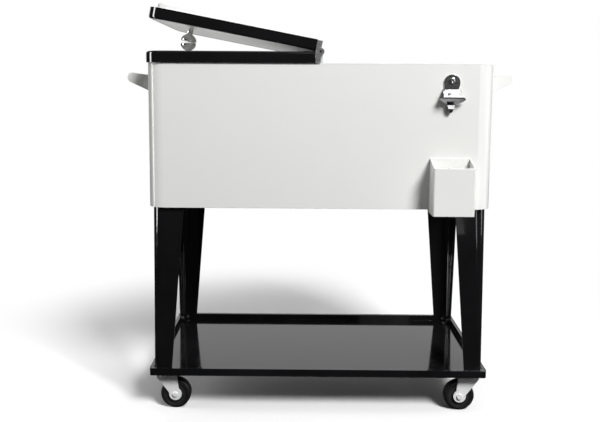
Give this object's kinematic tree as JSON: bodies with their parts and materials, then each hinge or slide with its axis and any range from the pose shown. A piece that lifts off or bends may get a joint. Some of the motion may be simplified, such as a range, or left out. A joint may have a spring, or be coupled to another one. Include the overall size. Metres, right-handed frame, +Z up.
{
  "type": "cooler cart",
  "caption": "Insulated box cooler on angle legs and swivel casters, with twin fold-back lids, lower shelf, end handles, bottle opener, cap catcher and drain.",
  "frame": {"origin": "on the floor, at the middle of the whole cart's footprint box", "axes": "+X along the cart to the end with the open half, opener and cap catcher, +Y from the opener's side to the drain's side, +Z up"},
  "size_m": [0.858, 0.439, 0.8945],
  "materials": {
    "white_paint": "gloss",
    "black_paint": "gloss",
    "black_lid_rim": "gloss",
    "white_plastic": "satin",
    "grey_plastic": "satin",
    "foam": "matte",
    "zinc": "satin",
    "chrome": "polished",
    "tyre_rubber": "matte",
    "wheel_plastic": "satin"
  },
  "bodies": {
    "cooler": {"outer_shell": "white_paint", "inner_tub": "white_plastic", "insulation": "foam", "bottom_panel": "zinc", "drain_spout": "grey_plastic", "shelf": "black_paint", "leg_bolts": "zinc", "front_left_leg": "black_paint", "front_right_leg": "black_paint", "rear_left_leg": "black_paint", "rear_right_leg": "black_paint", "front_left_caster_stem": "black_paint", "front_right_caster_stem": "black_paint", "rear_left_caster_stem": "black_paint", "rear_right_caster_stem": "black_paint", "hinge_bar": "grey_plastic", "hinge_pin": "zinc", "left_handle_front_bracket": "white_paint", "left_handle_rear_bracket": "white_paint", "left_handle_grip": "grey_plastic", "right_handle_front_bracket": "white_paint", "right_handle_rear_bracket": "white_paint", "right_handle_grip": "grey_plastic", "handle_screws": "zinc", "bottle_opener": "chrome", "opener_screw": "zinc", "cap_catcher": "white_paint", "catcher_screws": "zinc"},
    "left_lid": {"left_lid_rim": "black_lid_rim", "left_lid_panel": "white_paint", "left_lid_foam": "foam", "left_lid_liner": "white_plastic", "left_lid_knob": "chrome", "left_lid_hinge_leaf": "grey_plastic", "left_lid_screws": "zinc"},
    "right_lid": {"right_lid_rim": "black_lid_rim", "right_lid_panel": "white_paint", "right_lid_foam": "foam", "right_lid_liner": "white_plastic", "right_lid_knob": "chrome", "right_lid_hinge_leaf": "grey_plastic", "right_lid_screws": "zinc"},
    "drain_plug": {"drain_cap": "black_lid_rim"},
    "front_left_swivel": {"front_left_caster_fork": "zinc", "front_left_caster_axle": "zinc"},
    "front_left_wheel": {"front_left_caster_core": "wheel_plastic", "front_left_caster_tyre": "tyre_rubber"},
    "front_right_swivel": {"front_right_caster_fork": "zinc", "front_right_caster_axle": "zinc"},
    "front_right_wheel": {"front_right_caster_core": "wheel_plastic", "front_right_caster_tyre": "tyre_rubber"},
    "rear_left_swivel": {"rear_left_caster_fork": "zinc", "rear_left_caster_axle": "zinc"},
    "rear_left_wheel": {"rear_left_caster_core": "wheel_plastic", "rear_left_caster_tyre": "tyre_rubber"},
    "rear_right_swivel": {"rear_right_caster_fork": "zinc", "rear_right_caster_axle": "zinc"},
    "rear_right_wheel": {"rear_right_caster_core": "wheel_plastic", "rear_right_caster_tyre": "tyre_rubber"}
  },
  "joints": [
    {"name": "left_lid_hinge", "type": "hinge", "parent": "cooler", "child": "left_lid", "pos_m": [0, 0.0185, 0.7929], "axis": [0, 1, 0], "range_deg": [0, 169.17]},
    {"name": "right_lid_hinge", "type": "hinge", "parent": "left_lid", "child": "right_lid", "pos_m": [0, 0.0185, 0.7929], "axis": [0, -1, 0], "range_deg": [-169.17, 0]},
    {"name": "drain_cap_turn", "type": "hinge", "parent": "cooler", "child": "drain_plug", "pos_m": [0.25, 0.2045, 0.523], "axis": [0, 1, 0], "continuous": true},
    {"name": "front_left_swivel", "type": "hinge", "parent": "cooler", "child": "front_left_swivel", "pos_m": [-0.3455, -0.1345, 0.0731], "axis": [0, 0, 1], "continuous": true},
    {"name": "front_left_roll", "type": "hinge", "parent": "front_left_swivel", "child": "front_left_wheel", "pos_m": [-0.318, -0.1345, 0.0335], "axis": [0, 1, 0], "continuous": true},
    {"name": "front_right_swivel", "type": "hinge", "parent": "cooler", "child": "front_right_swivel", "pos_m": [0.3455, -0.1345, 0.0731], "axis": [0, 0, 1], "continuous": true},
    {"name": "front_right_roll", "type": "hinge", "parent": "front_right_swivel", "child": "front_right_wheel", "pos_m": [0.318, -0.1345, 0.0335], "axis": [0, 1, 0], "continuous": true},
    {"name": "rear_left_swivel", "type": "hinge", "parent": "cooler", "child": "rear_left_swivel", "pos_m": [-0.3455, 0.1715, 0.0731], "axis": [0, 0, 1], "continuous": true},
    {"name": "rear_left_roll", "type": "hinge", "parent": "rear_left_swivel", "child": "rear_left_wheel", "pos_m": [-0.318, 0.1715, 0.0335], "axis": [0, 1, 0], "continuous": true},
    {"name": "rear_right_swivel", "type": "hinge", "parent": "cooler", "child": "rear_right_swivel", "pos_m": [0.3455, 0.1715, 0.0731], "axis": [0, 0, 1], "continuous": true},
    {"name": "rear_right_roll", "type": "hinge", "parent": "rear_right_swivel", "child": "rear_right_wheel", "pos_m": [0.318, 0.1715, 0.0335], "axis": [0, 1, 0], "continuous": true}
  ]
}
